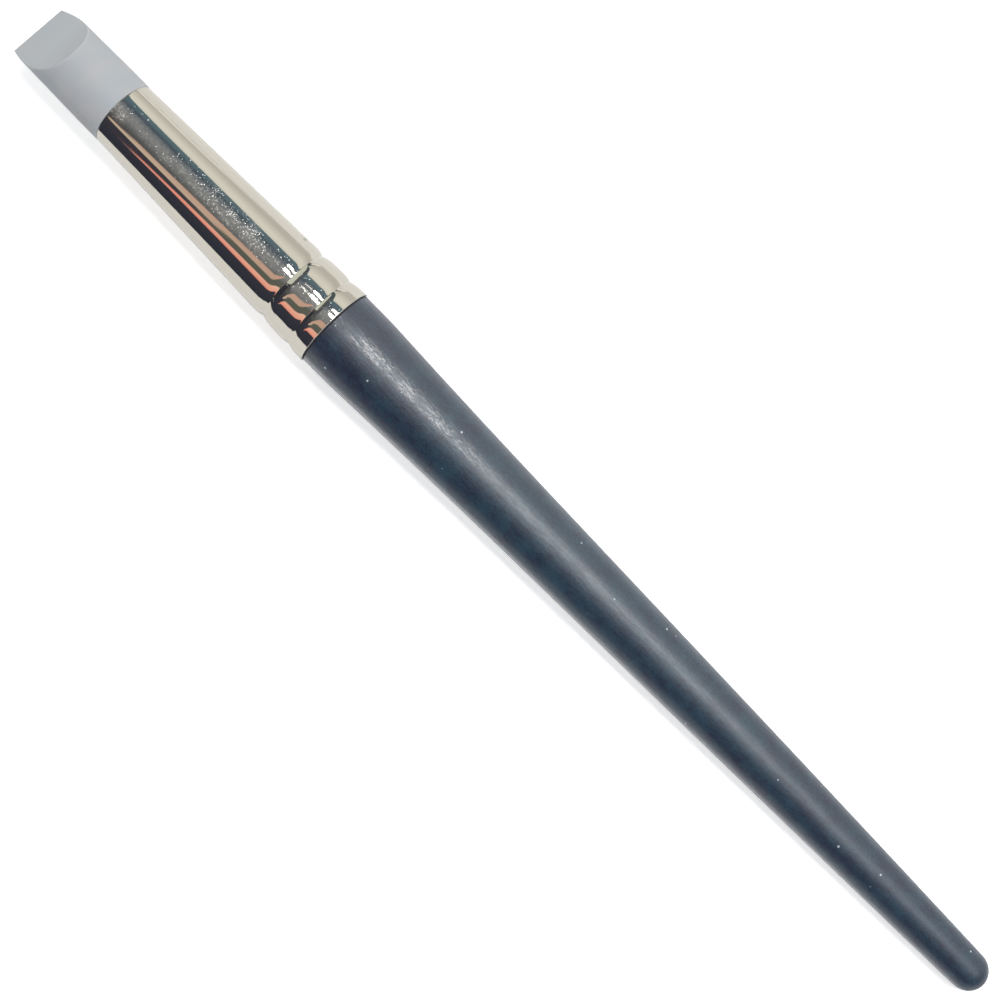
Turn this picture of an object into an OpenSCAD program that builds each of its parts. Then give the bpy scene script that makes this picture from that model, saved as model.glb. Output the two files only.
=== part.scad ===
// Clay shaper with a cupped chisel tip. A turned and lacquered wooden handle carries a tapered metal
// ferrule, rolled onto its tenon in two crimps, and the ferrule's narrow mouth holds a silicone tip.
// Millimetres. The tool lies along X with its tip towards +X and its cup facing +Z, and it rests at z 0.

/* [Handle] */
// Bare length of the handle, from the rear edge of the ferrule to the butt
handle_len = 153.7; // [120:0.1:200]
// Length of the parallel land right behind the ferrule
land_len = 4.5; // [2:0.1:10]
// Radius that blends the land into the taper
land_blend_r = 75; // [40:5:200]
// Half angle at which the taper leaves the land
taper_in_angle = 2.4; // [1:0.1:3.5]
// How far the land's angle carries on into the taper
taper_in_pull = 38; // [10:1:60]
// Half angle of the taper at the butt
taper_out_angle = 1.7; // [0.8:0.1:2.5]
// How far the butt's angle carries on into the taper
taper_out_pull = 82; // [20:1:100]
// Diameter where the taper runs into the rounded butt
butt_d = 6.96; // [5:0.02:9]
// Length of the tenon inside the ferrule
tenon_len = 25; // [15:0.5:32]
// Chamfer that leads the tenon into the ferrule
tenon_chamfer = 0.8; // [0.2:0.1:2]
// Eased edge of the wood beside the ferrule
shoulder_ease = 0.12; // [0.05:0.01:0.3]

/* [Ferrule] */
// Length of the ferrule
ferrule_len = 50; // [42:0.5:70]
// Outside diameter at the mouth, where the tip comes out
mouth_d = 12.2; // [10:0.1:14]
// Outside diameter at the rear edge, over the handle
rear_d = 15.35; // [13:0.05:18]
// Thickness of the metal
ferrule_wall = 0.35; // [0.25:0.01:0.6]
// Eased edges of the cut tube
ferrule_ease = 0.08; // [0.02:0.01:0.12]

/* [Crimps] */
// Crease of the rear crimp, from the rear edge
crimp_rear_at = 3.5; // [3:0.1:6]
// Distance between the two creases
crimp_pitch = 6.25; // [5:0.05:9]
// Depth that the metal is rolled in at the front crease
crimp_front_depth = 0.42; // [0.15:0.01:0.6]
// Depth that the metal is rolled in at the rear crease
crimp_rear_depth = 0.32; // [0.15:0.01:0.6]
// Run of the rolled shoulder on the tip's side of a crease
crimp_front_run = 2.2; // [1:0.1:3]
// Run of the rise on the handle's side of a crease
crimp_rear_run = 2.6; // [1:0.1:3]
// Radius that softens the bottom of a crease
crease_r = 0.1; // [0.05:0.01:0.4]

/* [Tip] */
// Length of silicone that stands out of the ferrule
head_len = 21.2; // [14:0.1:30]
// Diameter that the silicone swells towards, just outside the mouth
head_swell_d = 12.55; // [11.5:0.05:13.5]
// Place of that swell, from the mouth
head_swell_at = 4; // [1:0.1:7]
// Diameter that the head slims towards, further out
head_waist_d = 12.1; // [11:0.05:13]
// Place of that slimming, from the mouth
head_waist_at = 9.1; // [7:0.1:14]
// Diameter at the free end
head_end_d = 11.86; // [10:0.02:13]
// Depth of the chisel edge below the tool's axis
edge_drop = 2.65; // [1:0.05:4]
// Length of the cup along the tool
cup_run = 10.2; // [6:0.1:13]
// Radius of the cup's hollow
cup_r = 32; // [16:1:80]
// Length of the flat bevel under the chisel edge
bevel_run = 3.4; // [1:0.1:6]

/* [Adhesive] */
// Thickness of the cured plug between the tip's root and the tenon
plug_len = 5; // [2:0.5:8]

/* [Fits] */
// Height of the ferrule's rear edge above the wood
ferrule_proud = 0.24; // [0.05:0.01:0.3]
// Width of the dark seam between the ferrule and the wood
seam = 0.1; // [0.02:0.01:0.3]
// Radial gap of the tenon in the ferrule
tenon_fit = 0.02; // [0.005:0.005:0.1]
// Radial gap of the silicone root in the ferrule
root_fit = 0.02; // [0.005:0.005:0.1]
// Overhang of the silicone over the ferrule's mouth
head_lip = 0.04; // [0:0.01:0.3]
// Gap of the silicone's shoulder on the ferrule's mouth, and of the plug at its two ends
seat = 0.02; // [0.005:0.005:0.1]

/* [Hidden] */
$fn = 96;
mouth_r = mouth_d / 2;
rear_r = rear_d / 2;
land_r = rear_r - ferrule_proud;
butt_r = butt_d / 2;
// Height of the tool's axis: the rear edge of the ferrule is its widest place and lies on the surface
axis_z = rear_r;
// Places along the tool, from the butt
mouth_t = handle_len + ferrule_len;
end_t = mouth_t + head_len;
tenon_t = handle_len + tenon_len;
root_t = tenon_t + plug_len;
// Rounded butt, tangent to the taper
ball_r = butt_r / cos(taper_out_angle);
ball_t = ball_r * (1 - sin(taper_out_angle));
// Taper, from the land's blend to the rounded butt
blend_t = handle_len - land_len - land_blend_r * sin(taper_in_angle);
blend_end_r = land_r - land_blend_r * (1 - cos(taper_in_angle));
// Zone of the ferrule that the crimps change, from the rear edge
crimp_zone = crimp_rear_at + crimp_pitch + crimp_front_run;
// Outline of the silicone head, from the mouth to its free end
head_outline = [for (i = [0:24]) head_point(i / 24)];
// Cup, in the plane of the axis: the top of its rim, the chord to the edge and the centre of the hollow
rim_t = end_t - cup_run;
rim_r = head_r_at(rim_t - mouth_t);
cup_chord = norm([cup_run, rim_r + edge_drop]);
cup_height = sqrt(max(cup_r * cup_r - cup_chord * cup_chord / 4, 0));
cup_mid = [end_t - cup_run / 2, (rim_r - edge_drop) / 2];
cup_centre = cup_mid + cup_height * [rim_r + edge_drop, cup_run] / cup_chord;

// Point of a cubic curve through four control points
function bezier(a, b, c, d, u) =
    pow(1 - u, 3) * a + 3 * pow(1 - u, 2) * u * b + 3 * (1 - u) * u * u * c + pow(u, 3) * d;

// Plain cone of the ferrule's outside, f from its rear edge
function cone_r(f) = rear_r + (mouth_r - rear_r) * f / ferrule_len;

// Depth of one crimp, d from its crease towards the tip: its shoulders curve out to the cone on both sides
function softened(d) = norm([d, crease_r]) - crease_r;
function crimp_run(d) = d > 0 ? crimp_front_run : crimp_rear_run;
function crimp(d, depth) = depth * pow(1 - min(softened(d) / softened(crimp_run(d)), 1), 3);

// Outside and inside of the rolled ferrule, f from its rear edge
function skin_r(f) = cone_r(f)
    - crimp(f - crimp_rear_at, crimp_rear_depth)
    - crimp(f - crimp_rear_at - crimp_pitch, crimp_front_depth);
function bore_r(f) = skin_r(f) - ferrule_wall;

// Point of the silicone head's outline, and its radius at d from the ferrule's mouth
function head_point(u) = bezier(
    [mouth_r + head_lip, 0],
    [head_swell_d / 2, head_swell_at],
    [head_waist_d / 2, head_waist_at],
    [head_end_d / 2, head_len],
    u
);
function head_r_at(d) = lookup(d, [for (p = head_outline) [p[1], p[0]]]);

// Turns an outline of radius and place along the tool about the tool's axis
module turned(outline) {
    translate([-end_t / 2, 0, axis_z])
        rotate([0, 90, 0])
            rotate_extrude()
                polygon(outline);
}

// Turned wood: rounded butt, slim taper, land, shoulder, and the tenon that the crimps press into
module handle() {
    shoulder_t = handle_len - seam;
    butt = [for (i = [0:12])
        let (a = (90 - taper_out_angle) * i / 12)
            [ball_r * sin(a), ball_r * (1 - cos(a))]];
    taper = [for (i = [1:35]) bezier(
        [butt_r, ball_t],
        [butt_r, ball_t] + taper_out_pull * [sin(taper_out_angle), cos(taper_out_angle)],
        [blend_end_r, blend_t] - taper_in_pull * [sin(taper_in_angle), cos(taper_in_angle)],
        [blend_end_r, blend_t],
        i / 36
    )];
    blend = [for (i = [0:6])
        let (a = taper_in_angle * (1 - i / 6))
            [land_r - land_blend_r * (1 - cos(a)), handle_len - land_len - land_blend_r * sin(a)]];
    shoulder = [
        [land_r, shoulder_t - shoulder_ease],
        [land_r - shoulder_ease, shoulder_t],
        [bore_r(0) - tenon_fit, shoulder_t]
    ];
    pressed = [for (i = [0:96])
        let (f = crimp_zone * i / 96)
            [bore_r(f) - tenon_fit, handle_len + f]];
    nose_r = bore_r(tenon_len) - tenon_fit;
    nose = [
        [nose_r, tenon_t - tenon_chamfer],
        [nose_r - tenon_chamfer, tenon_t],
        [0, tenon_t]
    ];
    color([0.16, 0.19, 0.23])
        turned(concat(butt, taper, blend, shoulder, pressed, nose));
}

// Drawn tapered tube of one thickness, with two rolled crimps near its rear edge
module ferrule() {
    skin = [for (i = [1:96])
        let (f = crimp_zone * i / 96)
            [skin_r(f), handle_len + f]];
    bore = [for (i = [96:-1:1])
        let (f = crimp_zone * i / 96)
            [bore_r(f), handle_len + f]];
    rear = [
        [bore_r(0), handle_len],
        [skin_r(0) - ferrule_ease, handle_len],
        [skin_r(0), handle_len + ferrule_ease]
    ];
    mouth = [
        [mouth_r, mouth_t - ferrule_ease],
        [mouth_r - ferrule_ease, mouth_t],
        [mouth_r - ferrule_wall, mouth_t]
    ];
    color([0.80, 0.77, 0.70])
        turned(concat(rear, skin, mouth, bore));
}

// Cured adhesive behind the tip's root, filling the bore up to the tenon
module adhesive_plug() {
    color([0.85, 0.74, 0.48])
        turned([
            [0, tenon_t + seat],
            [bore_r(tenon_len + seat) - root_fit, tenon_t + seat],
            [bore_r(tenon_len + plug_len - seat) - root_fit, root_t - seat],
            [0, root_t - seat]
        ]);
}

// Moulded silicone: a tapered root wedged behind the mouth, a head seated on it, a cup and a chisel edge
module silicone_tip() {
    root = [
        [0, root_t],
        [bore_r(tenon_len + plug_len) - root_fit, root_t],
        [mouth_r - ferrule_wall - root_fit, mouth_t],
        [mouth_r - ferrule_wall - root_fit, mouth_t + seat]
    ];
    head = [for (p = head_outline) [p[0], mouth_t + seat + p[1] * (head_len - seat) / head_len]];
    reach = 2 * head_swell_d;
    color([0.72, 0.75, 0.77])
        difference() {
            turned(concat(root, head, [[0, end_t]]));
            translate([cup_centre[0] - end_t / 2, 0, axis_z + cup_centre[1]])
                rotate([90, 0, 0])
                    cylinder(r = cup_r, h = reach, center = true);
            translate([end_t / 2, 0, axis_z - edge_drop])
                rotate([90, 0, 0])
                    linear_extrude(height = reach, center = true)
                        polygon([
                            [0, 0],
                            [-2 * bevel_run, 2 * edge_drop - head_end_d],
                            [reach, 2 * edge_drop - head_end_d],
                            [reach, 0]
                        ]);
        }
}

handle();
ferrule();
adhesive_plug();
silicone_tip();
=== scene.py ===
import math

import bpy
from mathutils import Matrix, Vector


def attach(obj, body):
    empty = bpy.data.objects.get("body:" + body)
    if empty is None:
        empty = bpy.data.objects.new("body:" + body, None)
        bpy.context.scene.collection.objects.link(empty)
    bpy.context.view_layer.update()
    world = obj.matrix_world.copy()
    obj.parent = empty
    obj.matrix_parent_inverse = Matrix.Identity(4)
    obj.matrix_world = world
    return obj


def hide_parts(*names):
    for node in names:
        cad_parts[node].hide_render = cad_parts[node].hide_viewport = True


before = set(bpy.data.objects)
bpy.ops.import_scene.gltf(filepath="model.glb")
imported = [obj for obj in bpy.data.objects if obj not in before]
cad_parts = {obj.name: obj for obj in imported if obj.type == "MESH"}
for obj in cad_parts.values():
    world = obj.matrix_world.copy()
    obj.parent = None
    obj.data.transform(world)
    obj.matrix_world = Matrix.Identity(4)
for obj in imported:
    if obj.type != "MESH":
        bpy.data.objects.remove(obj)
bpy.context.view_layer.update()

# Camera. It looks down on the lying tool, which runs from the upper left of the picture to the lower
# right, and it stands a little to the side of the cup, so that the cup's far rim is turned away.
MM = 0.001
AXIS_Z = 7.675 * MM
CAMERA_LEAN = math.radians(9.5)
CAMERA_ROLL = math.radians(45.41)
CAMERA_FAR = 270 * MM
CAMERA_AIM_ALONG = 1.42 * MM
CAMERA_AIM_ACROSS = 0.525 * MM
CAMERA_LENS = 58.3

along = Vector((1, 0, 0))
towards_camera = Vector((0, math.sin(CAMERA_LEAN), math.cos(CAMERA_LEAN)))
across = towards_camera.cross(along)
camera_right = -math.cos(CAMERA_ROLL) * along - math.sin(CAMERA_ROLL) * across
camera_up = math.sin(CAMERA_ROLL) * along - math.cos(CAMERA_ROLL) * across
camera_aim = Vector((0, 0, AXIS_Z)) + CAMERA_AIM_ALONG * along + CAMERA_AIM_ACROSS * across

bpy.ops.object.select_all(action="DESELECT")
bpy.ops.object.camera_add(location=camera_aim + CAMERA_FAR * towards_camera)
camera = bpy.context.object
camera.rotation_euler = Matrix((camera_right, camera_up, towards_camera)).transposed().to_euler()
camera.data.lens = CAMERA_LENS
camera.data.sensor_width = 36
bpy.context.scene.camera = camera

# Handle. Straight-grained wood, turned to a slim taper with a rounded butt and a short land, and left as a
# tenon inside the ferrule. It is dipped in a blue-black satin lacquer, and the hand has rubbed a crackled
# streak on its top, near the ferrule. The streak's ridges are glossier there, and are also painted paler
# where the lamps' highlight falls: a painted highlight.
BUTT_X = -112.45 * MM
FERRULE_REAR_X = 41.25 * MM
FERRULE_LEN = 50 * MM
FERRULE_REAR_R = 7.675 * MM
FERRULE_MOUTH_R = 6.1 * MM
FERRULE_WALL = 0.35 * MM
CRIMPS = ((3.5 * MM, 0.32 * MM), (9.75 * MM, 0.42 * MM))
CRIMP_FRONT_RUN = 2.2 * MM
CRIMP_REAR_RUN = 2.6 * MM
CREASE_R = 0.1 * MM
LAND_R = FERRULE_REAR_R - 0.24 * MM
LAND_LEN = 4.5 * MM
LAND_BLEND_R = 75 * MM
TAPER_IN_ANGLE = math.radians(2.4)
TAPER_IN_PULL = 38 * MM
TAPER_OUT_ANGLE = math.radians(1.7)
TAPER_OUT_PULL = 82 * MM
BUTT_R = 3.48 * MM
SEAM = 0.1 * MM
SHOULDER_EASE = 0.12 * MM
TENON_LEN = 25 * MM
TENON_FIT = 0.02 * MM
TENON_CHAMFER = 0.8 * MM
HANDLE_STEPS = 160


def crimp(d, depth):
    """Depth of one rolled crimp, d from its crease towards the tip."""
    run = CRIMP_FRONT_RUN if d > 0 else CRIMP_REAR_RUN
    share = (math.hypot(d, CREASE_R) - CREASE_R) / (math.hypot(run, CREASE_R) - CREASE_R)
    return depth * (1 - min(share, 1)) ** 3


def skin_r(f):
    """Outside radius of the ferrule, f from its rear edge."""
    cone = FERRULE_REAR_R + (FERRULE_MOUTH_R - FERRULE_REAR_R) * f / FERRULE_LEN
    return cone - sum(crimp(f - place, depth) for place, depth in CRIMPS)


def crimp_stations(start, end, step):
    """Places along the ferrule, closer together at the two creases."""
    places = []
    f = start
    while f < end:
        places.append(f)
        near = min(abs(f - place) for place, depth in CRIMPS)
        f += step * min(max(near / (4 * CREASE_R), 0.25), 1)
    return places + [end]


def curve(a, b, c, d, count):
    """Points of a cubic curve, without its two ends."""
    points = []
    for i in range(1, count):
        u = i / count
        points.append((1 - u) ** 3 * a + 3 * (1 - u) ** 2 * u * b + 3 * (1 - u) * u * u * c + u ** 3 * d)
    return points


def turned(name, outline, steps):
    """Turns an outline of points (place along the tool, radius) about the tool's axis, as on a lathe."""
    bpy.ops.object.select_all(action="DESELECT")
    bpy.ops.mesh.primitive_plane_add(size=MM)
    piece = bpy.context.object
    piece.name = name
    bpy.ops.object.mode_set(mode="EDIT")
    bpy.ops.mesh.merge(type="CENTER")
    at = Vector((0, 0))
    for i, point in enumerate(outline):
        step = Vector(point) - at
        at = Vector(point)
        if i == 0:
            bpy.ops.transform.translate(value=(step.x, 0, AXIS_Z + step.y))
        else:
            bpy.ops.mesh.extrude_vertices_move(TRANSFORM_OT_translate={"value": (step.x, 0, step.y)})
    bpy.ops.mesh.select_all(action="SELECT")
    bpy.ops.mesh.spin(steps=steps, angle=math.tau, center=(0, 0, AXIS_Z), axis=(1, 0, 0))
    bpy.ops.mesh.select_all(action="SELECT")
    bpy.ops.mesh.remove_doubles(threshold=0.001 * MM)
    bpy.ops.mesh.normals_make_consistent(inside=False)
    bpy.ops.object.mode_set(mode="OBJECT")
    bpy.ops.object.shade_smooth_by_angle(angle=math.radians(30))
    return piece


ball_r = BUTT_R / math.cos(TAPER_OUT_ANGLE)
taper_start = Vector((BUTT_X + ball_r * (1 - math.sin(TAPER_OUT_ANGLE)), BUTT_R))
land_x = FERRULE_REAR_X - LAND_LEN
taper_end = Vector((
    land_x - LAND_BLEND_R * math.sin(TAPER_IN_ANGLE),
    LAND_R - LAND_BLEND_R * (1 - math.cos(TAPER_IN_ANGLE)),
))
shoulder_x = FERRULE_REAR_X - SEAM
tenon_x = FERRULE_REAR_X + TENON_LEN
tenon_nose_r = skin_r(TENON_LEN) - FERRULE_WALL - TENON_FIT

butt_end = []
for i in range(17):
    turn = (math.pi / 2 - TAPER_OUT_ANGLE) * i / 16
    butt_end.append(Vector((BUTT_X + ball_r * (1 - math.cos(turn)), ball_r * math.sin(turn))))
taper = curve(
    taper_start,
    taper_start + TAPER_OUT_PULL * Vector((math.cos(TAPER_OUT_ANGLE), math.sin(TAPER_OUT_ANGLE))),
    taper_end - TAPER_IN_PULL * Vector((math.cos(TAPER_IN_ANGLE), math.sin(TAPER_IN_ANGLE))),
    taper_end,
    72,
)
land_blend = []
for i in range(9):
    turn = TAPER_IN_ANGLE * (1 - i / 8)
    land_blend.append(Vector((
        land_x - LAND_BLEND_R * math.sin(turn),
        LAND_R - LAND_BLEND_R * (1 - math.cos(turn)),
    )))
shoulder = []
for i in range(5):
    turn = math.pi / 2 * i / 4
    shoulder.append(Vector((
        shoulder_x - SHOULDER_EASE * (1 - math.sin(turn)),
        LAND_R - SHOULDER_EASE * (1 - math.cos(turn)),
    )))
crimps_end = CRIMPS[1][0] + CRIMP_FRONT_RUN
tenon = [Vector((shoulder_x, skin_r(0) - FERRULE_WALL - TENON_FIT))]
for f in crimp_stations(0, crimps_end, 0.3 * MM):
    tenon.append(Vector((FERRULE_REAR_X + f, skin_r(f) - FERRULE_WALL - TENON_FIT)))
tenon.append(Vector((tenon_x - TENON_CHAMFER, tenon_nose_r)))
tenon.append(Vector((tenon_x, tenon_nose_r - TENON_CHAMFER)))
tenon.append(Vector((tenon_x, 0)))

handle = turned("handle_lacquered", butt_end + taper + land_blend + shoulder + tenon, HANDLE_STEPS)


def put(tree, kind, sockets, **settings):
    """Adds a shader node. A socket takes a plain value, or the output of another node."""
    made = tree.nodes.new("ShaderNode" + kind)
    for name, value in settings.items():
        setattr(made, name, value)
    for name, value in sockets.items():
        if isinstance(value, bpy.types.NodeSocket):
            tree.links.new(value, made.inputs[name])
        else:
            made.inputs[name].default_value = value
    return made


def new_group(name, inputs, outputs):
    """Starts a node group with number inputs and outputs, after a Vector input."""
    group = bpy.data.node_groups.new(name, "ShaderNodeTree")
    group.interface.new_socket("Vector", in_out="INPUT", socket_type="NodeSocketVector")
    for socket in inputs:
        group.interface.new_socket(socket, in_out="INPUT", socket_type="NodeSocketFloat")
    for socket in outputs:
        group.interface.new_socket(socket, in_out="OUTPUT", socket_type="NodeSocketFloat")
    return group, group.nodes.new("NodeGroupInput"), group.nodes.new("NodeGroupOutput")


def place_group(tree, group, sockets):
    """Places a node group in a material."""
    return put(tree, "Group", sockets, node_tree=group)


def new_material(piece, name):
    """Gives a piece one new material, and returns its tree, its shader and its Object coordinates."""
    material = bpy.data.materials.new(name)
    material.use_nodes = True
    piece.data.materials.clear()
    piece.data.materials.append(material)
    tree = material.node_tree
    shader = tree.nodes["Principled BSDF"]
    coords = put(tree, "TexCoord", {}).outputs["Object"]
    return tree, shader, coords


def mixed(tree, share, first, second):
    """Colour between two colours."""
    return put(tree, "Mix", {0: share, 6: first, 7: second}, data_type="RGBA").outputs[2]


def ranged(tree, value, low, high, to_low, to_high):
    """Value carried from one range to another, and held inside it."""
    return put(tree, "MapRange", {0: value, 1: low, 2: high, 3: to_low, 4: to_high}).outputs[0]


def math_of(tree, operation, first, second):
    """One sum of two values."""
    return put(tree, "Math", {0: first, 1: second}, operation=operation).outputs[0]


# Streaks that run along the tool: the wood's grain, the lacquer's crackle and the ferrule's drawing lines
streaks, given, result = new_group("streaks_along", ["Along", "Across", "Detail"], ["Value"])
stretch = put(streaks, "CombineXYZ", {
    "X": given.outputs["Along"], "Y": given.outputs["Across"], "Z": given.outputs["Across"],
})
stretched = put(streaks, "VectorMath", {
    0: given.outputs["Vector"], 1: stretch.outputs[0],
}, operation="MULTIPLY")
streak_noise = put(streaks, "TexNoise", {
    "Vector": stretched.outputs[0], "Scale": 1.0, "Detail": given.outputs["Detail"], "Roughness": 0.6,
})
streaks.links.new(streak_noise.outputs["Fac"], result.inputs["Value"])

# Sparse specks: dust and nicks on the lacquer, clay flecks and grit on the ferrule
specks, given, result = new_group("dust_specks", ["Scale", "Share", "Size"], ["Mask"])
cells = put(specks, "TexVoronoi", {"Vector": given.outputs["Vector"], "Scale": given.outputs["Scale"]})
chosen = put(specks, "SeparateColor", {"Color": cells.outputs["Color"]})
picked = math_of(specks, "LESS_THAN", chosen.outputs[0], given.outputs["Share"])
size = math_of(specks, "MULTIPLY", chosen.outputs[1], given.outputs["Size"])
inside = math_of(specks, "LESS_THAN", cells.outputs["Distance"], size)
specks.links.new(math_of(specks, "MULTIPLY", picked, inside), result.inputs["Mask"])

LACQUER_DEEP = (0.004, 0.006, 0.034, 1)
LACQUER_LIGHT = (0.012, 0.053, 0.085, 1)
LACQUER_WORN_AND_HIGHLIGHT = (0.24, 0.24, 0.23, 1)
GRIME_AND_SEAM_SHADE = (0.003, 0.003, 0.004, 1)
DUST = (0.55, 0.58, 0.62, 1)
NAVY_X, TEAL_X = 38 * MM, 10 * MM
DARKER_FROM_X, DARKER_TO_X = -30 * MM, -65 * MM
RUB_FADE_X, RUB_FULL_X = 3 * MM, 19 * MM
RUB_SIDES_Y = ((-1.9 * MM, -1.2 * MM), (0.5 * MM, 1.1 * MM))
RUB_Z = (12 * MM, 13 * MM)
RIDGE_PAINTED_HIGHLIGHT, RIDGE_GLOSS = 0.6, 0.5
HAIRLINE_X = -3.4 * MM
HAIRLINE_EDGE = (0.04 * MM, 0.12 * MM)
HAIRLINE_Y = (1 * MM, 2.5 * MM)
SEAM_SHADE = (shoulder_x - 0.28 * MM, shoulder_x - 0.18 * MM)
RIM_FROM_X, RIM_TO_X = 0, -55 * MM
RIM_LEAN_FRONT, RIM_LEAN_BUTT, RIM_LEAN_FULL = 0.36, 0.50, 0.17
FLANK_LEAN, FLANK_GLOSS = (0.82, 0.40), 0.45
COAT_ROUGHNESS, COAT_IOR, LACQUER_IOR = 0.19, 1.7, 2.0
LACQUER_RELIEF = 0.045 * MM

tree, shader, coords = new_material(handle, "satin_lacquer")
place = put(tree, "SeparateXYZ", {"Vector": coords})
grain = place_group(tree, streaks, {"Vector": coords, "Along": 260.0, "Across": 1900.0, "Detail": 3.0})
crackle = place_group(tree, streaks, {"Vector": coords, "Along": 600.0, "Across": 2000.0, "Detail": 2.0})
rubbed = place_group(tree, streaks, {"Vector": coords, "Along": 170.0, "Across": 420.0, "Detail": 2.0})
clouds = put(tree, "TexNoise", {"Vector": coords, "Scale": 330.0, "Detail": 5.0, "Roughness": 0.65})
speckle = put(tree, "TexNoise", {"Vector": coords, "Scale": 3200.0, "Detail": 2.0})
dust = place_group(tree, specks, {"Vector": coords, "Scale": 600.0, "Share": 0.24, "Size": 0.13})
nicks = place_group(tree, specks, {"Vector": coords, "Scale": 380.0, "Share": 0.16, "Size": 0.06})

tone = math_of(
    tree, "ADD",
    ranged(tree, clouds.outputs["Fac"], 0.34, 0.66, 0.0, 0.66),
    ranged(tree, place.outputs["X"], NAVY_X, TEAL_X, -0.05, 0.27),
)
tone = math_of(tree, "ADD", tone, ranged(tree, place.outputs["X"], DARKER_FROM_X, DARKER_TO_X, 0, -0.12))
tone = math_of(tree, "ADD", tone, ranged(tree, speckle.outputs["Fac"], 0.3, 0.7, -0.5, 0.5))
lacquer = mixed(tree, ranged(tree, tone, 0, 1, 0, 1), LACQUER_DEEP, LACQUER_LIGHT)
# The streak lies in a band along the top, where the lamps' highlight falls; it carries the rubbed gloss
# and a painted highlight
on_top = math_of(
    tree, "MULTIPLY",
    ranged(tree, place.outputs["Y"], *RUB_SIDES_Y[0], 0, 1),
    ranged(tree, place.outputs["Y"], *RUB_SIDES_Y[1], 1, 0),
)
on_top = math_of(tree, "MULTIPLY", on_top, ranged(tree, place.outputs["Z"], *RUB_Z, 0, 1))
polished = math_of(
    tree, "MULTIPLY",
    math_of(tree, "MULTIPLY", on_top, ranged(tree, place.outputs["X"], RUB_FADE_X, RUB_FULL_X, 0.08, 1)),
    ranged(tree, rubbed.outputs["Value"], 0.38, 0.48, 0.15, 1),
)
ridge = math_of(tree, "ABSOLUTE", math_of(tree, "SUBTRACT", crackle.outputs["Value"], 0.5), 0)
worn_and_highlit = math_of(tree, "MULTIPLY", polished, ranged(tree, ridge, 0.02, 0.06, 1, 0))
# Painted highlight: the rubbed ridges are painted paler, as well as glossier, where the lamps' highlight
# falls
lacquer = mixed(tree, math_of(tree, "MULTIPLY", worn_and_highlit, RIDGE_PAINTED_HIGHLIGHT), lacquer, LACQUER_WORN_AND_HIGHLIGHT)
beside = math_of(tree, "ABSOLUTE", math_of(tree, "SUBTRACT", place.outputs["X"], HAIRLINE_X), 0)
hairline = math_of(
    tree, "MULTIPLY",
    ranged(tree, beside, *HAIRLINE_EDGE, 0.6, 0),
    ranged(tree, place.outputs["Y"], *HAIRLINE_Y, 0, 1),
)
# Painted shade: the shoulder in the joint with the ferrule, and the tenon behind it, are painted near
# black, in the same dark colour as the hairline and the nicks
in_seam = ranged(tree, place.outputs["X"], *SEAM_SHADE, 0, 1)
dark = math_of(tree, "MAXIMUM", math_of(tree, "MAXIMUM", hairline, nicks.outputs["Mask"]), in_seam)
lacquer = mixed(tree, dark, lacquer, GRIME_AND_SEAM_SHADE)
tree.links.new(mixed(tree, dust.outputs["Mask"], lacquer, DUST), shader.inputs["Base Color"])

dull = ranged(tree, grain.outputs["Value"], 0.35, 0.65, 0.43, 0.51)
tree.links.new(math_of(tree, "MAXIMUM", dull, dark), shader.inputs["Roughness"])
thick = ranged(tree, place.outputs["X"], taper_start.x, taper_end.x, BUTT_R, LAND_R)
lean = math_of(tree, "DIVIDE", math_of(tree, "SUBTRACT", place.outputs["Z"], AXIS_Z), thick)
rim_start = ranged(tree, place.outputs["X"], RIM_FROM_X, RIM_TO_X, RIM_LEAN_FRONT, RIM_LEAN_BUTT)
at_rim = ranged(tree, lean, rim_start, RIM_LEAN_FULL, 0, 1)
on_flank = math_of(
    tree, "MULTIPLY",
    ranged(tree, lean, *FLANK_LEAN, 0, FLANK_GLOSS),
    ranged(tree, place.outputs["Y"], 0, -1 * MM, 0, 1),
)
gloss = math_of(tree, "MAXIMUM", math_of(tree, "MULTIPLY", worn_and_highlit, RIDGE_GLOSS), at_rim)
gloss = math_of(tree, "MAXIMUM", gloss, on_flank)
tree.links.new(math_of(tree, "SUBTRACT", gloss, in_seam), shader.inputs["Coat Weight"])
shader.inputs["Coat Roughness"].default_value = COAT_ROUGHNESS
shader.inputs["Coat IOR"].default_value = COAT_IOR
fibres = math_of(tree, "MULTIPLY", grain.outputs["Value"], 0.6)
relief = math_of(tree, "ADD", crackle.outputs["Value"], fibres)
bump = put(tree, "Bump", {"Height": relief, "Strength": 0.55, "Distance": LACQUER_RELIEF})
tree.links.new(bump.outputs["Normal"], shader.inputs["Normal"])
shader.inputs["IOR"].default_value = LACQUER_IOR

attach(handle, "root")
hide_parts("handle")

# Ferrule. A seamless tube of brass, drawn to a taper and nickel plated, with two crimps rolled into the
# tenon near its rear edge. Use has left clay dust along its top and grime in its creases. A pale line is
# painted along its rear edge: a painted highlight.
FERRULE_EASE = 0.08 * MM
FERRULE_STEPS = 192
EASE_SPANS = 4
mouth_x = FERRULE_REAR_X + FERRULE_LEN


def eased(corner, start, end, count):
    """Rounded edge of the cut tube, between two directions given in quarter turns."""
    points = []
    for i in range(count + 1):
        turn = math.pi / 2 * (start + (end - start) * i / count)
        points.append(corner + FERRULE_EASE * Vector((math.cos(turn), math.sin(turn))))
    return points


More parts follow.
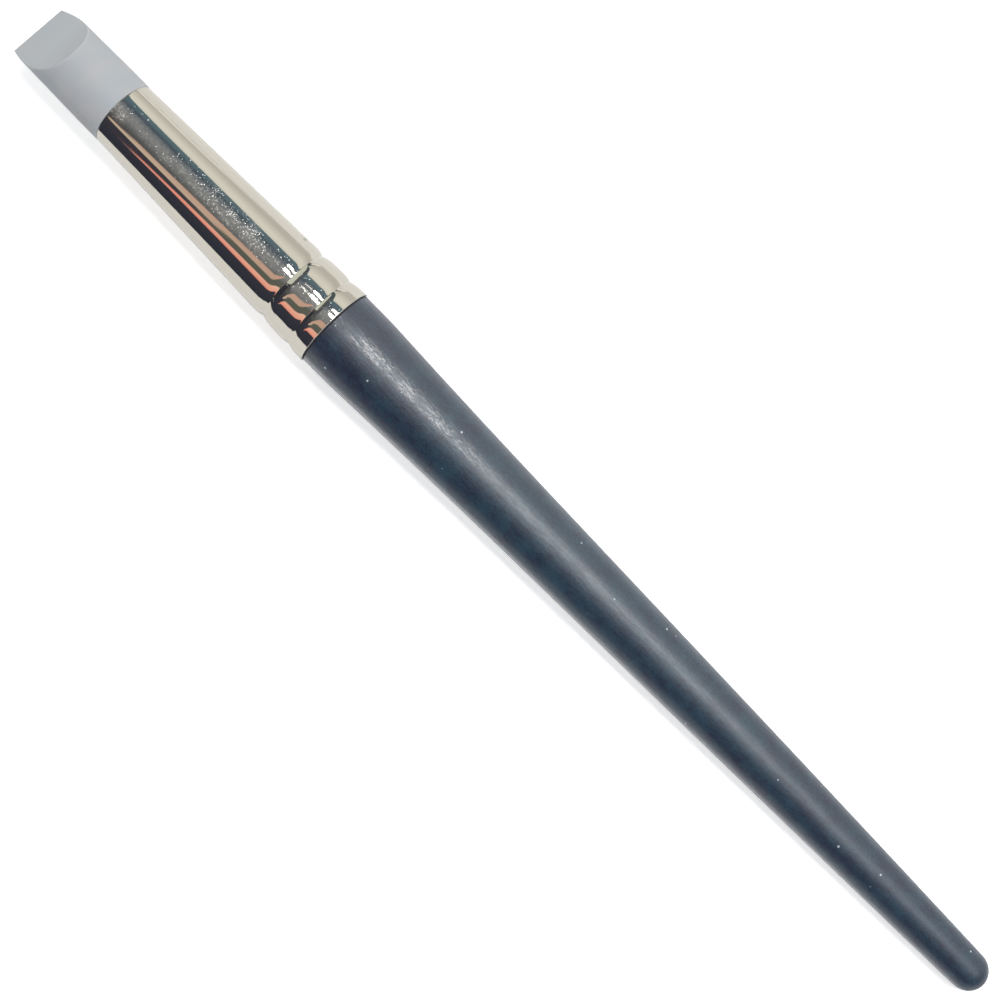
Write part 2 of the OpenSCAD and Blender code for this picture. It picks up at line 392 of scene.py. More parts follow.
rear_skin_r = skin_r(FERRULE_EASE)
outside = [
    Vector((FERRULE_REAR_X + f, skin_r(f)))
    for f in crimp_stations(2 * FERRULE_EASE, crimps_end, 0.12 * MM)
]
outside += [Vector((FERRULE_REAR_X + f * MM, skin_r(f * MM))) for f in (*range(13, 50, 3), 49.8)]
bore = [Vector((FERRULE_REAR_X + f * MM, skin_r(f * MM) - FERRULE_WALL)) for f in range(49, 12, -4)]
bore += [
    Vector((FERRULE_REAR_X + f, skin_r(f) - FERRULE_WALL))
    for f in reversed(crimp_stations(2 * FERRULE_EASE, crimps_end, 0.4 * MM))
]
rear_edge = eased(Vector((FERRULE_REAR_X + FERRULE_EASE, rear_skin_r - FERRULE_EASE)), 2, 1, EASE_SPANS)
rear_edge.insert(0, Vector((FERRULE_REAR_X, rear_skin_r - FERRULE_WALL)))
mouth_edge = eased(Vector((mouth_x - FERRULE_EASE, FERRULE_MOUTH_R - FERRULE_EASE)), 1, 0, EASE_SPANS)
mouth_edge.append(Vector((mouth_x, FERRULE_MOUTH_R - FERRULE_WALL)))

ferrule = turned("ferrule_nickel", rear_edge + outside + mouth_edge + bore + rear_edge[:1], FERRULE_STEPS)

NICKEL = (0.66, 0.62, 0.535, 1)
CLAY_DUST_AND_HIGHLIGHT = (0.74, 0.76, 0.76, 1)
CREASE_GRIME = (0.10, 0.085, 0.06, 1)
SMUDGE = (54.6 * MM, -6.2 * MM, 11.4 * MM)
SMEAR = (60.9 * MM, -0.2 * MM, 14.6 * MM)
DUST_SIDES_Y = ((-2.2 * MM, -1.4 * MM), (1.5 * MM, 2.4 * MM))
DUST_FRONT_X = (80 * MM, 70 * MM)
DUST_REAR_X = (54 * MM, 60 * MM)
FLECKS_THIN_X = (79 * MM, 73 * MM)
MOUTH_DUST_X = (87.5 * MM, 88.5 * MM)
MOUTH_DUST_SIDES_Y = ((-0.6 * MM, 0.2 * MM), (2.0 * MM, 2.8 * MM))
FILM_Y = (-0.8 * MM, 0.2 * MM)
EDGE_HIGHLIGHT_X = (FERRULE_REAR_X + 0.06 * MM, FERRULE_REAR_X + 0.13 * MM)
CREASE_HALF = 0.18 * MM
NICKEL_RELIEF = 0.02 * MM

tree, shader, coords = new_material(ferrule, "nickel_plate")
place = put(tree, "SeparateXYZ", {"Vector": coords})
lines = place_group(tree, streaks, {"Vector": coords, "Along": 60.0, "Across": 3000.0, "Detail": 4.0})
wobble = place_group(tree, streaks, {"Vector": coords, "Along": 90.0, "Across": 260.0, "Detail": 1.0})
patches = put(tree, "TexNoise", {"Vector": coords, "Scale": 300.0, "Detail": 3.0})
fine = put(tree, "TexNoise", {"Vector": coords, "Scale": 1700.0, "Detail": 2.0, "Distortion": 0.8})
pits = put(tree, "TexNoise", {"Vector": coords, "Scale": 3000.0, "Detail": 2.0})
sparse = place_group(tree, specks, {"Vector": coords, "Scale": 1500.0, "Share": 0.2, "Size": 0.15})
off = math_of(tree, "ABSOLUTE", math_of(tree, "SUBTRACT", fine.outputs["Fac"], 0.5), 0)
on_top = math_of(
    tree, "MULTIPLY",
    ranged(tree, place.outputs["Y"], *DUST_SIDES_Y[0], 0, 1),
    ranged(tree, place.outputs["Y"], *DUST_SIDES_Y[1], 1, 0),
)
lengthwise = math_of(
    tree, "MULTIPLY",
    ranged(tree, place.outputs["X"], *DUST_FRONT_X, 0.5, 0.95),
    ranged(tree, place.outputs["X"], *DUST_REAR_X, 0.5, 1),
)
at_mouth = math_of(
    tree, "MULTIPLY",
    ranged(tree, place.outputs["X"], *MOUTH_DUST_X, 0, 1),
    math_of(
        tree, "MULTIPLY",
        ranged(tree, place.outputs["Y"], *MOUTH_DUST_SIDES_Y[0], 0, 1),
        ranged(tree, place.outputs["Y"], *MOUTH_DUST_SIDES_Y[1], 1, 0),
    ),
)
soiled = math_of(tree, "MAXIMUM", math_of(tree, "MULTIPLY", on_top, lengthwise), at_mouth)
thinning = math_of(tree, "MAXIMUM", ranged(tree, place.outputs["X"], *FLECKS_THIN_X, 0.3, 1), at_mouth)
torn = math_of(tree, "MULTIPLY", ranged(tree, patches.outputs["Fac"], 0.38, 0.66, 0.2, 1), soiled)
torn = math_of(tree, "MULTIPLY", torn, thinning)
often = math_of(tree, "MULTIPLY", torn, 0.42)
flecks = place_group(tree, specks, {"Vector": coords, "Scale": 2900.0, "Share": often, "Size": 0.33})
grains = place_group(tree, specks, {"Vector": coords, "Scale": 4700.0, "Share": often, "Size": 0.40})
worms = math_of(tree, "LESS_THAN", off, ranged(tree, torn, 0.8, 1, 0, 0.012))
dust_and_edge_highlight = math_of(tree, "MAXIMUM", flecks.outputs["Mask"], grains.outputs["Mask"])
dust_and_edge_highlight = math_of(tree, "MULTIPLY", dust_and_edge_highlight, 0.82)
dust_and_edge_highlight = math_of(tree, "MAXIMUM", dust_and_edge_highlight, math_of(tree, "MULTIPLY", worms, 0.5))
dust_and_edge_highlight = math_of(tree, "MAXIMUM", dust_and_edge_highlight, math_of(tree, "MULTIPLY", sparse.outputs["Mask"], on_top))
film = math_of(
    tree, "MULTIPLY",
    math_of(tree, "MULTIPLY", soiled, ranged(tree, place.outputs["Y"], *FILM_Y, 0.2, 1)),
    math_of(
        tree, "ADD",
        ranged(tree, patches.outputs["Fac"], 0.56, 0.70, 0, 0.14),
        ranged(tree, pits.outputs["Fac"], 0.45, 0.66, 0, 0.3),
    ),
)
dust_and_edge_highlight = math_of(tree, "MAXIMUM", dust_and_edge_highlight, film)
around = put(tree, "VectorMath", {0: coords, 1: SMEAR}, operation="DISTANCE").outputs["Value"]
smear = math_of(
    tree, "MULTIPLY",
    ranged(tree, around, 0.5 * MM, 1.8 * MM, 0.4, 0),
    ranged(tree, pits.outputs["Fac"], 0.42, 0.60, 0.15, 1),
)
dust_and_edge_highlight = math_of(tree, "MAXIMUM", dust_and_edge_highlight, smear)
# Painted highlight: a thin pale line, in the clay dust's colour, painted along the rear edge of the tube
painted_edge_highlight = ranged(tree, place.outputs["X"], *EDGE_HIGHLIGHT_X, 0.55, 0)
dust_and_edge_highlight = math_of(tree, "MAXIMUM", dust_and_edge_highlight, painted_edge_highlight)
creases = [
    put(tree, "Math", {
        0: place.outputs["X"], 1: FERRULE_REAR_X + at, 2: CREASE_HALF,
    }, operation="COMPARE").outputs[0]
    for at, depth in CRIMPS
]
grit = place_group(tree, specks, {"Vector": coords, "Scale": 700.0, "Share": 0.3, "Size": 0.3})
grime = math_of(tree, "MULTIPLY", math_of(tree, "ADD", *creases), grit.outputs["Mask"])
apart = put(tree, "VectorMath", {0: coords, 1: SMUDGE}, operation="DISTANCE").outputs["Value"]
smudge = math_of(
    tree, "MULTIPLY",
    ranged(tree, apart, 0.2 * MM, 0.6 * MM, 0.7, 0),
    ranged(tree, fine.outputs["Fac"], 0.42, 0.55, 0, 1),
)
grime = math_of(tree, "MAXIMUM", grime, smudge)
plate = mixed(tree, dust_and_edge_highlight, NICKEL, CLAY_DUST_AND_HIGHLIGHT)
tree.links.new(mixed(tree, grime, plate, CREASE_GRIME), shader.inputs["Base Color"])
bare = math_of(tree, "SUBTRACT", 1.0, math_of(tree, "MAXIMUM", dust_and_edge_highlight, grime))
tree.links.new(bare, shader.inputs["Metallic"])
haze = ranged(tree, lines.outputs["Value"], 0.3, 0.7, 0.035, 0.085)
dull = math_of(tree, "ADD", haze, math_of(tree, "MULTIPLY", dust_and_edge_highlight, 0.4))
tree.links.new(dull, shader.inputs["Roughness"])
relief = math_of(
    tree, "ADD",
    math_of(tree, "MULTIPLY", wobble.outputs["Value"], 0.5),
    math_of(tree, "MULTIPLY", dust_and_edge_highlight, 0.3),
)
bump = put(tree, "Bump", {"Height": relief, "Strength": 0.5, "Distance": NICKEL_RELIEF})
tree.links.new(bump.outputs["Normal"], shader.inputs["Normal"])

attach(ferrule, "root")
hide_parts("ferrule")

# Adhesive plug. Epoxy poured behind the tip's root, cured to a clouded amber block against the tenon. It
# keeps the shape of the bore, and the ferrule hides it.
AMBER_CLEAR = (0.60, 0.40, 0.13, 1)
AMBER_CLOUDED = (0.76, 0.60, 0.30, 1)

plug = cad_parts["adhesive_plug"]
tree, shader, coords = new_material(plug, "cured_epoxy")
cloud = put(tree, "TexNoise", {"Vector": coords, "Scale": 350.0, "Detail": 4.0})
tree.links.new(mixed(tree, cloud.outputs["Fac"], AMBER_CLEAR, AMBER_CLOUDED), shader.inputs["Base Color"])
tree.links.new(ranged(tree, cloud.outputs["Fac"], 0.3, 0.7, 0.25, 0.5), shader.inputs["Roughness"])

# Silicone tip. Moulded in one piece: a root wedged behind the ferrule's mouth, a round head seated on the
# metal, and a cup that meets a flat underside in a chisel edge. Its edges are soft, as they leave the
# mould.
COLUMNS = 68
CORNER_COLUMN = 22
EDGE_SPANS = 22
HEAD_LEN = 21.2 * MM
HEAD_OUTLINE = [Vector((0, 6.14)), Vector((4, 6.275)), Vector((9.1, 6.05)), Vector((21.2, 5.93))]
ROOT_X = tenon_x + 5 * MM
ROOT_FIT = 0.02 * MM
EDGE_Z = -2.65 * MM
CUP_RUN = 10.2 * MM
CUP_R = 32 * MM
BEVEL_SLOPE = 6.8 / 6.56
EDGE_SOFT = 0.2 * MM
CUT_START_X = mouth_x + 9 * MM
end_x = mouth_x + HEAD_LEN

head_curve = [HEAD_OUTLINE[0] * MM] + [p * MM for p in curve(*HEAD_OUTLINE, 40)] + [HEAD_OUTLINE[3] * MM]


def head_r(x):
    """Radius of the silicone head at a place along the tool."""
    d = min(max(x - mouth_x, 0), HEAD_LEN)
    for a, b in zip(head_curve, head_curve[1:]):
        if d <= b.x:
            return a.y + (b.y - a.y) * (d - a.x) / (b.x - a.x)
    return head_curve[-1].y


rim_x = end_x - CUP_RUN
rim_r = head_r(rim_x)
chord = Vector((CUP_RUN, rim_r - EDGE_Z))
cup_centre = Vector((end_x - CUP_RUN / 2, (rim_r + EDGE_Z) / 2))
cup_centre += math.sqrt(CUP_R ** 2 - chord.length_squared / 4) * Vector((chord.y, chord.x)) / chord.length


def cut_x(z):
    """Place along the tool where the cup, or the bevel under the edge, ends the silicone at a height."""
    if z < EDGE_Z:
        return end_x + (z - EDGE_Z) * BEVEL_SLOPE
    return cup_centre.x - math.sqrt(CUP_R ** 2 - (z - cup_centre.y) ** 2)


root_r = skin_r(TENON_LEN + 5 * MM) - FERRULE_WALL - ROOT_FIT
neck_r = FERRULE_MOUTH_R - FERRULE_WALL - ROOT_FIT
seat_x = mouth_x + 0.02 * MM
rings = [
    (ROOT_X + 0.3 * MM, root_r), (ROOT_X + 4 * MM, 0.75 * root_r + 0.25 * neck_r),
    (mouth_x - 4 * MM, 0.2 * root_r + 0.8 * neck_r), (mouth_x - 0.3 * MM, neck_r), (seat_x, neck_r),
    (seat_x, neck_r + 0.2 * MM), (seat_x, head_r(mouth_x) - 0.08 * MM), (seat_x, head_r(mouth_x)),
    (seat_x + 0.1 * MM, head_r(mouth_x + 0.1 * MM)),
]
rings += [(mouth_x + d * MM, head_r(mouth_x + d * MM)) for d in (0.8, 2, 3.5, 5, 6.5, 8, 9)]
rings += [(CUT_START_X + (end_x - CUT_START_X) * i / 8, head_r(end_x)) for i in range(1, 8)]
rings += [(end_x - EDGE_SOFT, head_r(end_x)), (end_x, head_r(end_x))]

bpy.ops.object.select_all(action="DESELECT")
bpy.ops.mesh.primitive_circle_add(
    vertices=COLUMNS, radius=root_r, fill_type="NGON",
    location=(ROOT_X, 0, AXIS_Z), rotation=(0, math.pi / 2, 0),
)
tip = bpy.context.object
tip.name = "silicone_tip_moulded"
bpy.ops.object.transform_apply(location=True, rotation=True, scale=True)
bpy.ops.object.mode_set(mode="EDIT")
at_x, at_r = ROOT_X, root_r
for x, r in rings:
    bpy.ops.mesh.extrude_region_move(TRANSFORM_OT_translate={"value": (x - at_x, 0, 0)})
    bpy.ops.transform.resize(value=(1, r / at_r, r / at_r), center_override=(x, 0, AXIS_Z))
    at_x, at_r = x, r


def select_points(piece, chosen):
    """Selects the points of a piece in edit mode for which chosen(place, turn) is true.

    The place is seen from the tool's axis, and the turn about the axis is in columns from the top."""
    bpy.ops.object.mode_set(mode="OBJECT")
    for polygon in piece.data.polygons:
        polygon.select = False
    for edge in piece.data.edges:
        edge.select = False
    for point in piece.data.vertices:
        place = point.co - Vector((0, 0, AXIS_Z))
        turn = math.atan2(place.y, place.z) / math.tau * COLUMNS
        point.select = chosen(place, turn)
    bpy.ops.object.mode_set(mode="EDIT")


def at_end(place):
    """Whether a place lies in the flat end of the head."""
    return abs(place.x - end_x) < 0.01 * MM


def near(value, wanted):
    """Whether two measures are the same, within the mesh's spacing."""
    return abs(value - wanted) < 0.05 * MM


# The flat end is split along the chisel edge, and each half gets a border and a grid of its own
bpy.ops.mesh.select_mode(type="VERT")
select_points(tip, lambda place, turn: at_end(place) and abs(abs(turn) - CORNER_COLUMN) < 0.1)
bpy.ops.mesh.vert_connect()
bpy.ops.mesh.subdivide(number_cuts=EDGE_SPANS - 1)
select_points(tip, lambda place, turn: at_end(place))
bpy.ops.mesh.inset(thickness=EDGE_SOFT, use_individual=True)
bpy.ops.mesh.delete(type="ONLY_FACE")
inner_r = head_r(end_x) - EDGE_SOFT
for side, arc in ((1, lambda turn: abs(turn) < EDGE_SPANS / 2 + 0.1),
                  (-1, lambda turn: abs(turn) > COLUMNS / 2 - EDGE_SPANS / 2 - 0.1)):
    border_z = EDGE_Z + side * EDGE_SOFT
    select_points(tip, lambda place, turn: at_end(place) and (
        near(place.z, border_z) or near(math.hypot(place.y, place.z), inner_r) and arc(turn)))
    bpy.ops.mesh.fill_grid(use_interp_simple=True)
select_points(tip, lambda place, turn: at_end(place) and abs(abs(turn) - CORNER_COLUMN) < 0.1 and (
    near(math.hypot(place.y, place.z), head_r(end_x))))
bpy.ops.transform.vert_crease(value=0.8)
bpy.ops.object.mode_set(mode="OBJECT")

# The cup and the bevel are pressed into the flat end, and the wall behind them is drawn back with them
flat_end_r = head_r(end_x)
for point in tip.data.vertices:
    behind = end_x - point.co.x
    if point.co.x < CUT_START_X + 0.1 * MM:
        continue
    y, z = point.co.y / flat_end_r, (point.co.z - AXIS_Z) / flat_end_r
    r = flat_end_r
    for _ in range(6):
        cut = cut_x(z * r)
        if behind <= EDGE_SOFT:
            x = cut - behind
        else:
            x = CUT_START_X + (point.co.x - CUT_START_X) * (cut - EDGE_SOFT - CUT_START_X) / (
                end_x - EDGE_SOFT - CUT_START_X)
        r = head_r(x)
    point.co = (x, y * r, AXIS_Z + z * r)

soften = tip.modifiers.new("soften", "SUBSURF")
soften.levels = soften.render_levels = 2
bpy.ops.object.modifier_apply(modifier=soften.name)
bpy.ops.object.shade_smooth()

SILICONE = (0.500, 0.532, 0.556, 1)
SILICONE_WARM = (0.550, 0.547, 0.553, 1)
SILICONE_RIM_HIGHLIGHT = (0.570, 0.582, 0.588, 1)
SILICONE_CUP_COOL_AND_LIT = (0.600, 0.622, 0.640, 1)
SILICONE_IOR = 1.41
SILICONE_RELIEF = 0.02 * MM
RIM_OUT = (5.5 * MM, 5.8 * MM)
RIM_DOWN = (CUP_R + 0.1 * MM, CUP_R + 0.4 * MM)
CUP_DOWN = (CUP_R + 0.05 * MM, CUP_R + 0.2 * MM)
CUP_PAINTED_LIGHT_X = (111.5 * MM, 107 * MM)

tree, shader, coords = new_material(tip, "grey_silicone")
place = put(tree, "SeparateXYZ", {"Vector": coords})
height = math_of(tree, "SUBTRACT", place.outputs["Z"], AXIS_Z)
from_axis = put(tree, "CombineXYZ", {"Y": place.outputs["Y"], "Z": height})
from_cup = put(tree, "CombineXYZ", {
    "X": math_of(tree, "SUBTRACT", place.outputs["X"], cup_centre.x),
    "Z": math_of(tree, "SUBTRACT", height, cup_centre.y),
})
out = put(tree, "VectorMath", {0: from_axis.outputs[0]}, operation="LENGTH").outputs["Value"]
down = put(tree, "VectorMath", {0: from_cup.outputs[0]}, operation="LENGTH").outputs["Value"]
# Painted highlight: a paler band painted along the cup's rim, where the rounded edge catches the light
rim = math_of(
    tree, "MULTIPLY",
    ranged(tree, out, *RIM_OUT, 0, 1),
    ranged(tree, down, *RIM_DOWN, 1, 0),
)
blotches = put(tree, "TexNoise", {"Vector": coords, "Scale": 210.0, "Detail": 3.0})
mottle = put(tree, "TexNoise", {"Vector": coords, "Scale": 2600.0, "Detail": 2.0})
skin = mixed(tree, ranged(tree, blotches.outputs["Fac"], 0.35, 0.65, 0, 1), SILICONE, SILICONE_WARM)
# Partly painted light: the cup face is tinted cooler and painted paler, more so towards its rear, which
# evens out its shading
in_cup_tint_and_light = math_of(
    tree, "MULTIPLY",
    ranged(tree, down, *CUP_DOWN, 1, 0),
    ranged(tree, place.outputs["X"], *CUP_PAINTED_LIGHT_X, 0.3, 0.8),
)
skin = mixed(tree, in_cup_tint_and_light, skin, SILICONE_CUP_COOL_AND_LIT)
tree.links.new(mixed(tree, rim, skin, SILICONE_RIM_HIGHLIGHT), shader.inputs["Base Color"])
tree.links.new(ranged(tree, blotches.outputs["Fac"], 0.35, 0.65, 0.5, 0.62), shader.inputs["Roughness"])
bump = put(tree, "Bump", {"Height": mottle.outputs["Fac"], "Strength": 0.3, "Distance": SILICONE_RELIEF})
tree.links.new(bump.outputs["Normal"], shader.inputs["Normal"])
shader.inputs["IOR"].default_value = SILICONE_IOR

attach(tip, "root")
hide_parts("silicone_tip")

# Studio. A pale floor, tilted to where the tool rests on its ferrule and its butt, a white surround, strip
# lamps over the tool, and cards that hang and lie round it: they are what the polished ferrule shows. Two
# cards light the metal alone, and one lamp the wood alone.
FLOOR_TILT = math.radians(1.6)
FLOOR_SIZE = 6
FLOOR_FADE = (0.25, 0.7)
FLOOR_NEAR_GLOW = 0.6
FLOOR_GLOSS_GLOW = 0.21
SURROUND_LIGHT = 0.45
WHITE = (1, 1, 1, 1)
PAPER = (0.85, 0.85, 0.85, 1)
CLOTH = (0.04, 0.045, 0.07)

bpy.ops.object.select_all(action="DESELECT")
bpy.ops.mesh.primitive_plane_add(
    size=FLOOR_SIZE, location=(FERRULE_REAR_X, 0, 0), rotation=(0, FLOOR_TILT, 0),
)
floor = bpy.context.object
floor.name = "floor"
tree, shader, coords = new_material(floor, "pale_floor")
tree.nodes.remove(shader)
seen = put(tree, "LightPath", {})
plainly = math_of(tree, "MAXIMUM", seen.outputs["Is Camera Ray"], seen.outputs["Is Transmission Ray"])
away = put(tree, "VectorMath", {0: coords}, operation="LENGTH").outputs["Value"]
plainly = math_of(tree, "MULTIPLY", plainly, ranged(tree, away, *FLOOR_FADE, FLOOR_NEAR_GLOW, 1))
in_gloss = math_of(tree, "MULTIPLY", seen.outputs["Is Glossy Ray"], FLOOR_GLOSS_GLOW)
plainly = math_of(tree, "MAXIMUM", plainly, in_gloss)
paper = put(tree, "BsdfDiffuse", {"Color": PAPER})
glow = put(tree, "Emission", {"Color": WHITE, "Strength": plainly})
both = put(tree, "AddShader", {0: paper.outputs[0], 1: glow.outputs[0]})
tree.links.new(both.outputs[0], tree.nodes["Material Output"].inputs["Surface"])

world = bpy.data.worlds.new("white_surround")
bpy.context.scene.world = world
world.use_nodes = True
tree = world.node_tree
seen = put(tree, "LightPath", {})
plainly = math_of(tree, "MAXIMUM", seen.outputs["Is Camera Ray"], seen.outputs["Is Glossy Ray"])
plainly = math_of(tree, "MAXIMUM", plainly, seen.outputs["Is Transmission Ray"])
surround = tree.nodes["Background"]
surround.inputs["Color"].default_value = WHITE
tree.links.new(ranged(tree, plainly, 0, 1, SURROUND_LIGHT, 1), surround.inputs["Strength"])


def between(rows, angle, column):
    """Value of a table's column at an angle, the first column, drawn straight between its rows."""
    for a, b in zip(rows, rows[1:]):
        if angle <= b[0] or b is rows[-1]:
            return a[column] + (b[column] - a[column]) * (angle - a[0]) / (b[0] - a[0])


def hang_card(name, far, ribs):
    """Hangs a curved, glowing card over the tool, at a distance from the tool's axis.

    Each rib of it has an angle off the zenith, in degrees towards +Y, its two ends along X, and a
    colour."""
    start, end = ribs[0][0], ribs[-1][0]
    bpy.ops.object.select_all(action="DESELECT")
    bpy.ops.mesh.primitive_plane_add(size=MM)
    card = bpy.context.object
    card.name = name
    bpy.ops.object.mode_set(mode="EDIT")
    bpy.ops.mesh.merge(type="CENTER")
    turn = math.radians(start)
    bpy.ops.transform.translate(value=(-0.5, far * math.sin(turn), AXIS_Z + far * math.cos(turn)))
    bpy.ops.mesh.extrude_vertices_move(TRANSFORM_OT_translate={"value": (1, 0, 0)})
    bpy.ops.mesh.select_all(action="SELECT")
    bpy.ops.mesh.spin(steps=40, angle=math.radians(end - start), center=(0, 0, AXIS_Z), axis=(1, 0, 0))
    bpy.ops.object.mode_set(mode="OBJECT")
    for point in card.data.vertices:
        angle = math.degrees(math.atan2(point.co.y, point.co.z - AXIS_Z))
        point.co.x = between(ribs, angle, 1 if point.co.x < 0 else 2)
    tree, shader, coords = new_material(card, name)
    tree.nodes.remove(shader)
    place = put(tree, "SeparateXYZ", {"Vector": coords})
    up = math_of(tree, "SUBTRACT", place.outputs["Z"], AXIS_Z)
    turn = math_of(tree, "ARCTAN2", place.outputs["Y"], up)
    ramp = put(tree, "ValToRGB", {"Fac": ranged(tree, turn, math.radians(start), math.radians(end), 0, 1)})
    stops = ramp.color_ramp.elements
    stops.remove(stops[1])
    for i, (angle, _, _, *colour) in enumerate(ribs):
        at = (angle - start) / (end - start)
        stop = stops[0] if i == 0 else stops.new(at)
        stop.position = at
        stop.color = (*colour, 1)
    lit = put(tree, "Emission", {"Color": ramp.outputs["Color"]})
    tree.links.new(lit.outputs[0], tree.nodes["Material Output"].inputs["Surface"])
    card.visible_camera = False
    return card


def stand_card(name, colour, location, rotation, width, height):
    """Stands or lays a flat, glowing card that only glossy surfaces show."""
    bpy.ops.object.select_all(action="DESELECT")
    bpy.ops.mesh.primitive_plane_add(size=1, location=location, rotation=rotation)
    bpy.ops.transform.resize(value=(width, height, 1), orient_type="LOCAL")
    card = bpy.context.object
    card.name = name
    bpy.ops.object.transform_apply(location=True, rotation=True, scale=True)
    tree, shader, coords = new_material(card, name)
    tree.nodes.remove(shader)
    lit = put(tree, "Emission", {"Color": (*colour, 1)})
    tree.links.new(lit.outputs[0], tree.nodes["Material Output"].inputs["Surface"])
    card.visible_camera = card.visible_diffuse = card.visible_shadow = False


hang_card("window", 0.69, (
    (-92, -2.4, 0.22, 0.70, 0.70, 0.67),
    (-86, -2.4, 0.27, 0.70, 0.70, 0.67),
    (-81, -2.4, 0.30, 0.68, 0.68, 0.65),
    (-78, -2.4, 0.38, 0.68, 0.68, 0.65),
    (-74, -2.4, 0.70, 0.69, 0.69, 0.66),
    (-66, -2.4, 0.55, 0.79, 0.79, 0.76),
    (-61, -2.4, 0.47, 0.84, 0.84, 0.81),
    (-56, -2.4, 0.43, 0.91, 0.91, 0.87),
    (-50, -2.4, 0.40, 0.97, 0.97, 0.93),
    (-42, -2.4, 0.37, 0.95, 0.95, 0.91),
    (-38, -2.4, 0.34, 0.84, 0.84, 0.80),
))
hang_card("window_end", 0.685, (
    (-92, -2.38, -0.40, 0.40, 0.41, 0.42),
    (-66, -2.38, -0.40, 0.45, 0.46, 0.47),
    (-38, -2.38, -0.40, 0.55, 0.56, 0.57),
))
hang_card("ceiling", 0.70, (
    (-80, -2.4, 0.62, 0.10, 0.12, 0.13),
    (-38, -2.4, 0.62, 0.12, 0.21, 0.27),
    (-30, -2.4, 0.62, 0.13, 0.21, 0.28),
    (-20, -2.4, 0.62, 0.075, 0.11, 0.16),
    (-10, -2.4, 0.62, 0.20, 0.235, 0.28),
    (2, -2.4, 0.62, 0.28, 0.30, 0.34),
    (10, -2.4, 0.62, 0.28, 0.30, 0.33),
    (20, -2.4, 0.62, 0.20, 0.22, 0.25),
    (30, -2.4, 0.62, 0.14, 0.155, 0.17),
    (42, -2.4, 0.62, 0.08, 0.08, 0.10),
    (58, -2.4, 0.62, 0.06, 0.06, 0.085),
    (64, -2.4, 0.62, 0.05, 0.053, 0.08),
    (110, -2.4, 0.62, 0.04, 0.045, 0.07),
))
hang_card("corner_dark", 0.695, (
    (-72, 0.40, 0.62, 0.12, 0.15, 0.17),
    (-60, 0.40, 0.62, 0.10, 0.13, 0.16),
    (-35, 0.40, 0.62, 0.11, 0.13, 0.15),
    (30, 0.40, 0.62, 0.09, 0.10, 0.11),
))
hang_card("strip_green", 0.695, (
    (24, -0.6, 0.20, 0.15, 0.165, 0.15),
    (40, -0.6, 0.29, 0.15, 0.165, 0.15),
    (60, -0.6, 0.29, 0.13, 0.145, 0.135),
))
strip_peach = hang_card("strip_peach", 0.69, (
    (10, -0.25, -0.11, 0.80, 0.46, 0.37),
    (20, -0.06, 0.20, 0.76, 0.48, 0.39),
    (24, 0.03, 0.235, 0.76, 0.50, 0.41),
    (31, 0.14, 0.280, 0.75, 0.51, 0.42),
    (40.5, 0.268, 0.345, 0.75, 0.54, 0.45),
    (47, 0.275, 0.358, 0.76, 0.58, 0.49),
    (50, 0.30, 0.385, 0.77, 0.64, 0.52),
    (53, 0.335, 0.375, 0.77, 0.65, 0.52),
    (55, 0.36, 0.368, 0.75, 0.64, 0.50),
))
strip_salmon = hang_card("strip_salmon", 0.69, (
    (43, -0.90, -0.11, 1.10, 0.72, 0.58),
    (48, -0.90, 0.06, 1.12, 0.68, 0.54),
    (53, -0.90, 0.236, 1.15, 0.60, 0.47),
    (57.2, -0.87, 0.273, 1.15, 0.53, 0.42),
    (57.9, -0.76, 0.278, 1.05, 0.84, 0.70),
    (58.6, -0.65, 0.282, 1.15, 0.50, 0.40),
    (61.2, -0.26, 0.299, 1.15, 0.47, 0.37),
    (61.8, -0.20, 0.301, 1.05, 0.80, 0.66),
    (62.4, -0.15, 0.304, 1.14, 0.45, 0.36),
    (67, 0.255, 0.323, 1.12, 0.43, 0.34),
    (71, 0.308, 0.336, 1.10, 0.43, 0.35),
    (75, 0.334, 0.341, 1.05, 0.48, 0.40),
    (77, 0.340, 0.342, 1.00, 0.52, 0.44),
))
in_metal_only = bpy.data.collections.new("in_metal_only")
in_metal_only.objects.link(ferrule)
for strip in (strip_peach, strip_salmon):
    strip.light_linking.receiver_collection = in_metal_only
stand_card("end_wall", (0.78, 0.83, 0.75), (0.66, -0.24, 0.375), (0, -math.pi / 2, 0), 0.75, 0.74)
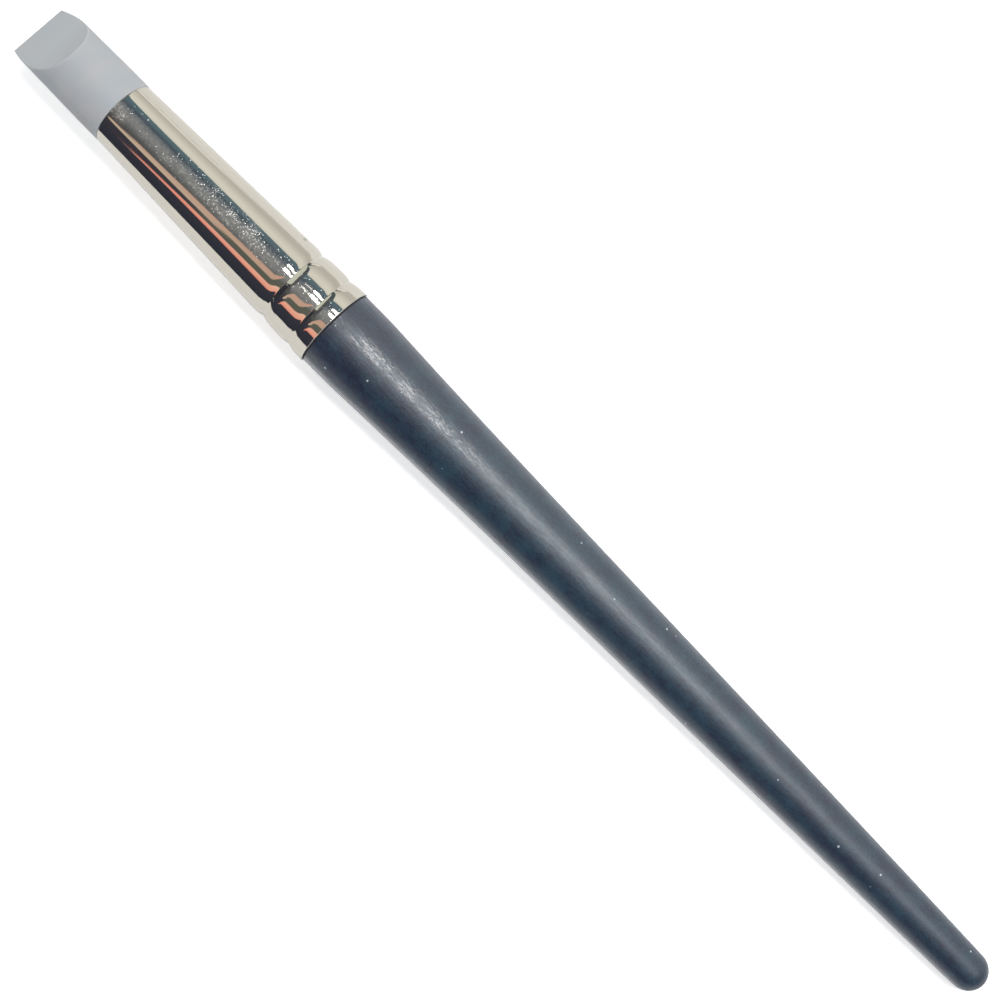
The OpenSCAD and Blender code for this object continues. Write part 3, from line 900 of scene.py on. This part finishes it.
stand_card("end_shade", (0.10, 0.13, 0.15), (0.665, -0.70, 0.375), (0, -math.pi / 2, 0), 0.75, 0.18)
stand_card("end_dark", (0.04, 0.045, 0.06), (0.67, 0.73, 0.375), (0, -math.pi / 2, 0), 0.75, 1.2)
stand_card("dark_cloth", CLOTH, (FERRULE_REAR_X, 0.361, 1 * MM), (0, FLOOR_TILT, 0), 4.8, 0.6)
stand_card("cloth_hem", CLOTH, (-0.04, 0.054, 3.3 * MM), (0, FLOOR_TILT, math.radians(-8)), 0.15, 0.035)
stand_card("cloth_fold", CLOTH, (0.172, 0.157, 1 * MM), (0, 0, math.radians(-29)), 0.094, 0.3)
stand_card("back_dark", (0.06, 0.065, 0.085), (-2.42, 0, 0.4), (0, math.pi / 2, 0), 0.9, 1.8)


def hang_lamp(name, turn, far, middle, length, width, energy):
    """Hangs a rectangular lamp over the tool, aimed at its axis, at an angle off the zenith towards +Y."""
    turn = math.radians(turn)
    bpy.ops.object.select_all(action="DESELECT")
    bpy.ops.object.light_add(
        type="AREA", rotation=(-turn, 0, 0),
        location=(middle, far * math.sin(turn), AXIS_Z + far * math.cos(turn)),
    )
    lamp = bpy.context.object
    lamp.name = name
    lamp.data.shape = "RECTANGLE"
    lamp.data.size = length
    lamp.data.size_y = width
    lamp.data.energy = energy
    lamp.visible_camera = False
    return lamp


hang_lamp("tube_near", -5.2, 0.65, -0.0075, 0.385, 0.074, 1.2)
hang_lamp("tube_far", -19, 0.65, -0.0075, 0.385, 0.06, 1.0)
hang_lamp("tube_near_end", -5, 0.65, -0.475, 0.55, 0.075, 0.3)
hang_lamp("tube_far_end", -19, 0.65, -0.475, 0.55, 0.075, 0.28)
tube_side = hang_lamp("tube_side", 16, 0.65, 0.03, 0.31, 0.075, 0.24)
on_wood_only = bpy.data.collections.new("on_wood_only")
on_wood_only.objects.link(handle)
tube_side.light_linking.receiver_collection = on_wood_only
fill = hang_lamp("fill", 55, 0.6, 0.05, 0.4, 0.3, 0.7)
fill.visible_glossy = False

bpy.context.scene.view_settings.view_transform = "Standard"
